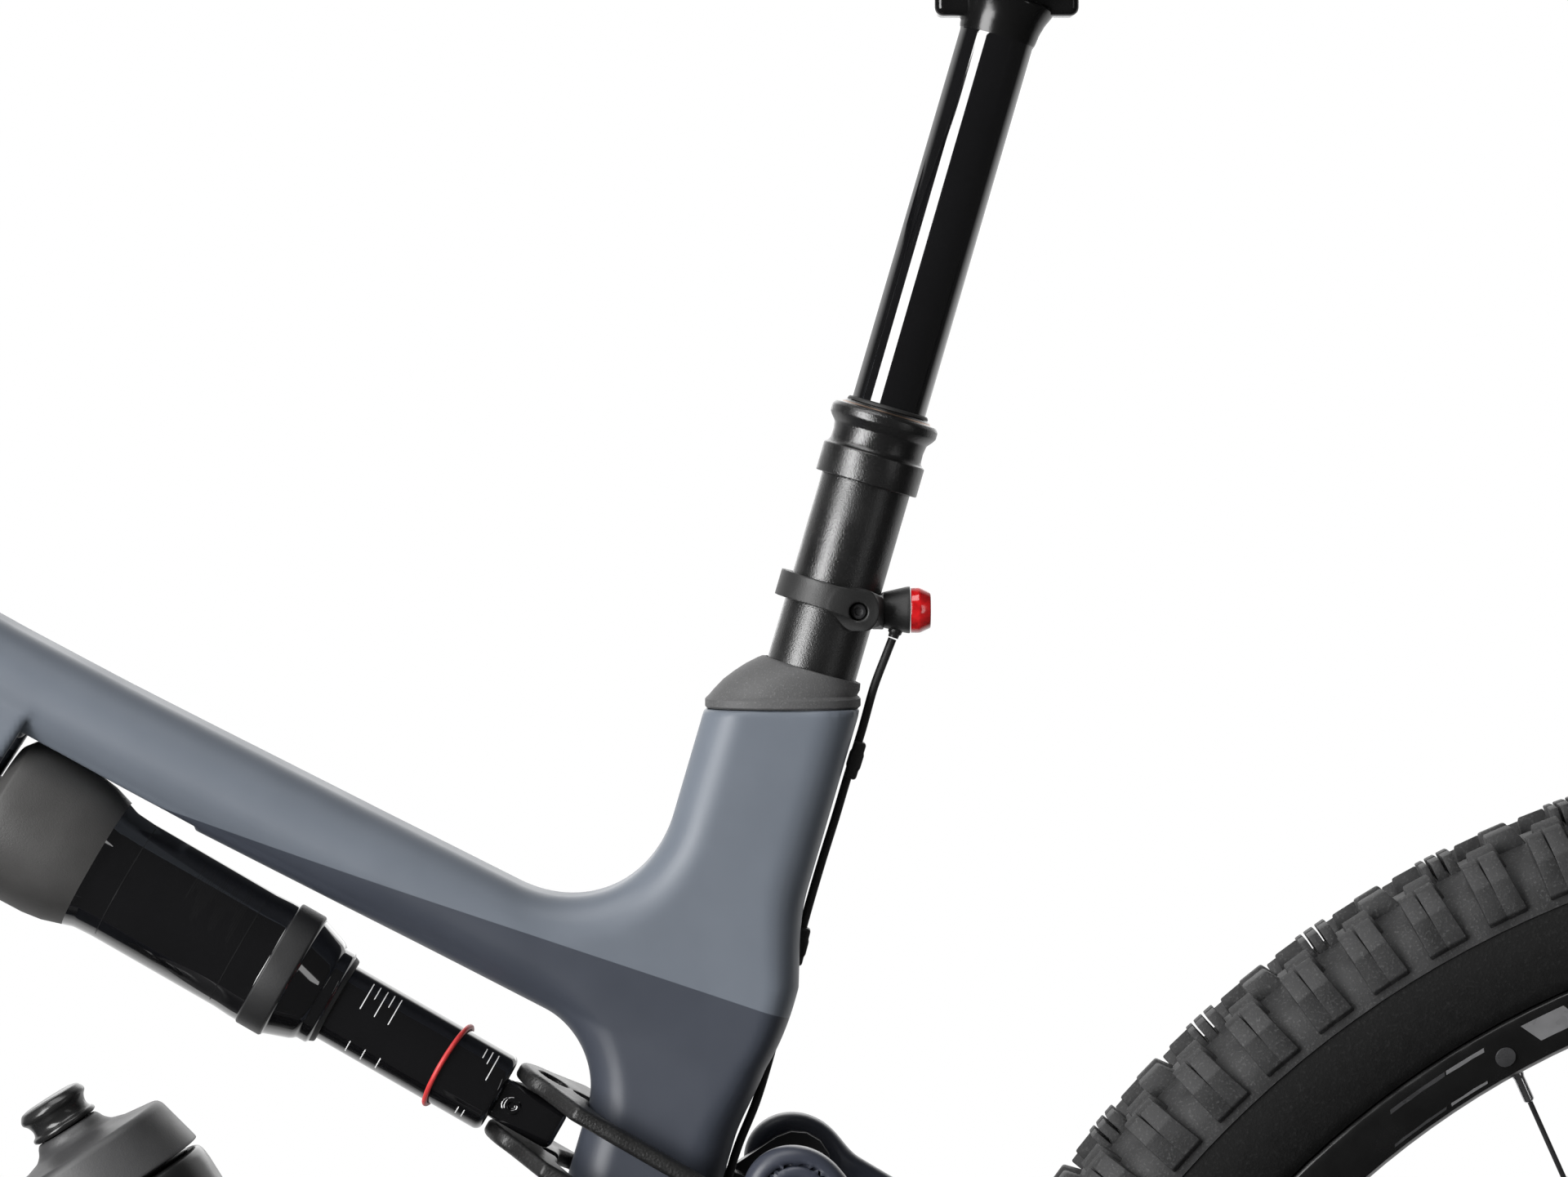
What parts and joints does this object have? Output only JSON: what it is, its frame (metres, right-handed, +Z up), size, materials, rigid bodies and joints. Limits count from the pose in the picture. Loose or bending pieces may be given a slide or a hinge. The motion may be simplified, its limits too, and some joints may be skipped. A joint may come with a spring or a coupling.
{
  "type": "electric mountain bike",
  "caption": "Full-suspension electric mountain bike with telescopic fork, four-bar rear suspension driving a can shock, mid motor, dropper post, tail light and side-entry bottle cage.",
  "frame": {"origin": "on the ground, midway between the wheels, in the bike's middle plane", "axes": "+X toward the rear wheel, +Y toward the drive side, +Z up"},
  "size_m": [1.978, 0.7726, 1.084],
  "materials": {
    "frame_paint": "satin",
    "motor_case": "matte",
    "black_alloy": "satin",
    "gloss_black": "gloss",
    "fork_black": "satin",
    "rim_black": "satin",
    "steel": "brushed",
    "tyre_rubber": "matte",
    "soft_rubber": "matte",
    "grey_rubber": "matte",
    "red_rubber": "satin",
    "red_lens": "gloss",
    "black_plastic": "matte",
    "bottle_plastic": "matte",
    "saddle_cloth": "matte"
  },
  "bodies": {
    "frame": {"main_frame": "frame_paint", "seat_clamp_cover": "grey_rubber", "motor_unit": "motor_case", "battery_pack": "black_plastic", "battery_cover": "frame_paint", "bottle_cage": "black_plastic", "seat_post_outer": "gloss_black", "seat_post_collar": "black_alloy", "light_clamp": "black_plastic", "tail_light_housing": "black_plastic", "tail_light_lens": "red_lens", "light_cable": "soft_rubber", "cable_clip_upper": "black_plastic", "cable_clip_lower": "black_plastic"},
    "bottle": {"bottle_body": "bottle_plastic", "bottle_lid": "black_plastic"},
    "bottle_nozzle": {"bottle_nozzle": "grey_rubber"},
    "dropper": {"seat_post_inner": "gloss_black", "saddle_clamp": "black_alloy", "saddle_shell": "black_plastic", "saddle_cover": "saddle_cloth"},
    "steering": {"headset_cover": "black_alloy", "fork_upper": "black_alloy", "stem": "black_alloy", "handlebar": "black_alloy", "grip_left": "soft_rubber", "grip_right": "soft_rubber", "brake_body_left": "black_alloy", "brake_body_right": "black_alloy"},
    "brake_lever_left": {"brake_lever_left": "black_alloy"},
    "brake_lever_right": {"brake_lever_right": "black_alloy"},
    "dropper_paddle": {"dropper_paddle": "black_plastic"},
    "shift_paddle": {"shift_paddle": "black_plastic"},
    "fork_lowers": {"fork_lowers": "fork_black", "front_caliper": "black_alloy"},
    "front_wheel": {"front_tyre": "tyre_rubber", "front_rim": "rim_black", "front_hub": "black_alloy", "front_rotor": "steel"},
    "chainstay": {"chainstays": "frame_paint", "chain": "steel"},
    "seatstay": {"seatstays": "frame_paint", "rear_caliper": "black_alloy", "derailleur_body": "black_alloy"},
    "derailleur_cage": {"derailleur_cage": "black_alloy"},
    "rear_wheel": {"rear_tyre": "tyre_rubber", "rear_rim": "rim_black", "rear_hub": "black_alloy", "rear_rotor": "steel"},
    "cassette": {"cassette": "steel"},
    "rocker": {"rocker": "black_alloy"},
    "shock_can": {"shock_can": "gloss_black"},
    "shock_shaft": {"shock_shaft": "gloss_black", "shock_o_ring": "red_rubber", "yoke": "black_alloy"},
    "crank": {"crank_left": "black_alloy", "crank_right": "black_alloy", "chainring": "steel"},
    "pedal_left": {"pedal_left": "black_plastic"},
    "pedal_right": {"pedal_right": "black_plastic"}
  },
  "joints": [
    {"name": "steer", "type": "hinge", "parent": "frame", "child": "steering", "pos_m": [-0.3529, 0, 0.8638], "axis": [0.3987, 0, 0.9171], "range_deg": [-60, 60]},
    {"name": "fork_travel", "type": "slide", "parent": "steering", "child": "fork_lowers", "axis": [0.3987, 0, 0.9171], "range_m": [0, 0.15], "stiffness_N_per_m": 8000, "springref_m": -0.03},
    {"name": "front_wheel_spin", "type": "hinge", "parent": "fork_lowers", "child": "front_wheel", "pos_m": [-0.613, 0, 0.376], "axis": [0, -1, 0], "continuous": true},
    {"name": "dropper_travel", "type": "slide", "parent": "frame", "child": "dropper", "axis": [0.2807, 0, 0.9598], "range_m": [-0.125, 0]},
    {"name": "swingarm_travel", "type": "hinge", "parent": "frame", "child": "chainstay", "pos_m": [0.2, 0, 0.422], "axis": [0, -1, 0], "range_deg": [0, 19.4], "stiffness_Nm_per_rad": 1550, "springref_deg": -3.9, "deforming": ["chain"]},
    {"name": "axle_pivot", "type": "hinge", "parent": "chainstay", "child": "seatstay", "pos_m": [0.573, 0, 0.343], "axis": [0, -1, 0], "range_deg": [-3.3, 0]},
    {"name": "rocker_pivot", "type": "hinge", "parent": "frame", "child": "rocker", "pos_m": [0.144, 0, 0.472], "axis": [0, -1, 0], "range_deg": [0, 21.6]},
    {"name": "shock_eye_pivot", "type": "hinge", "parent": "frame", "child": "shock_can", "pos_m": [-0.0714, 0, 0.7366], "axis": [0, -1, 0], "range_deg": [-2.3, 0]},
    {"name": "shock_stroke", "type": "slide", "parent": "shock_can", "child": "shock_shaft", "axis": [-0.8673, 0, 0.4977], "range_m": [0, 0.0447]},
    {"name": "rear_wheel_spin", "type": "hinge", "parent": "seatstay", "child": "rear_wheel", "pos_m": [0.613, 0, 0.376], "axis": [0, -1, 0], "continuous": true},
    {"name": "cassette_spin", "type": "hinge", "parent": "seatstay", "child": "cassette", "pos_m": [0.613, 0, 0.376], "axis": [0, -1, 0], "continuous": true},
    {"name": "crank_spin", "type": "hinge", "parent": "frame", "child": "crank", "pos_m": [0.169, 0, 0.346], "axis": [0, -1, 0], "continuous": true},
    {"name": "pedal_left_spin", "type": "hinge", "parent": "crank", "child": "pedal_left", "pos_m": [0.004, -0.144, 0.346], "axis": [0, -1, 0], "continuous": true},
    {"name": "pedal_right_spin", "type": "hinge", "parent": "crank", "child": "pedal_right", "pos_m": [0.334, 0.144, 0.346], "axis": [0, -1, 0], "continuous": true},
    {"name": "cage_pivot", "type": "hinge", "parent": "seatstay", "child": "derailleur_cage", "pos_m": [0.622, 0, 0.284], "axis": [0, -1, 0], "range_deg": [-6, 0]},
    {"name": "bottle_out", "type": "slide", "parent": "frame", "child": "bottle", "axis": [0, -1, 0], "range_m": [0, 0.15]},
    {"name": "nozzle_pull", "type": "slide", "parent": "bottle", "child": "bottle_nozzle", "axis": [-0.53, 0, 0.848], "range_m": [0, 0.006]},
    {"name": "brake_left", "type": "hinge", "parent": "steering", "child": "brake_lever_left", "pos_m": [-0.35611, -0.20048, 1.05118], "axis": [0.1475, 0.1068, 0.9833], "range_deg": [0, 13], "stiffness_Nm_per_rad": 1.2, "springref_deg": -2.86},
    {"name": "dropper_paddle_push", "type": "hinge", "parent": "steering", "child": "dropper_paddle", "pos_m": [-0.3256, -0.19061, 1.01603], "axis": [0, 0, 1], "range_deg": [0, 14], "stiffness_Nm_per_rad": 0.6, "springref_deg": -1.72},
    {"name": "brake_right", "type": "hinge", "parent": "steering", "child": "brake_lever_right", "pos_m": [-0.35611, 0.20048, 1.05118], "axis": [-0.1475, 0.1068, -0.9833], "range_deg": [0, 13], "stiffness_Nm_per_rad": 1.2, "springref_deg": -2.86},
    {"name": "shift_paddle_push", "type": "hinge", "parent": "steering", "child": "shift_paddle", "pos_m": [-0.3256, 0.19061, 1.01603], "axis": [0, 0, -1], "range_deg": [0, 14], "stiffness_Nm_per_rad": 0.6, "springref_deg": -1.72}
  ],
  "couplings": [
    {"joint": "axle_pivot", "follows": "swingarm_travel", "ratio": -0.1637},
    {"joint": "rocker_pivot", "follows": "swingarm_travel", "ratio": 1.1062},
    {"joint": "shock_eye_pivot", "follows": "swingarm_travel", "ratio": -0.1094},
    {"joint": "shock_stroke", "follows": "swingarm_travel", "m_per_rad": 0.13125},
    {"joint": "cage_pivot", "follows": "swingarm_travel", "ratio": -0.3},
    {"joint": "cassette_spin", "follows": "crank_spin", "ratio": 1.619}
  ]
}
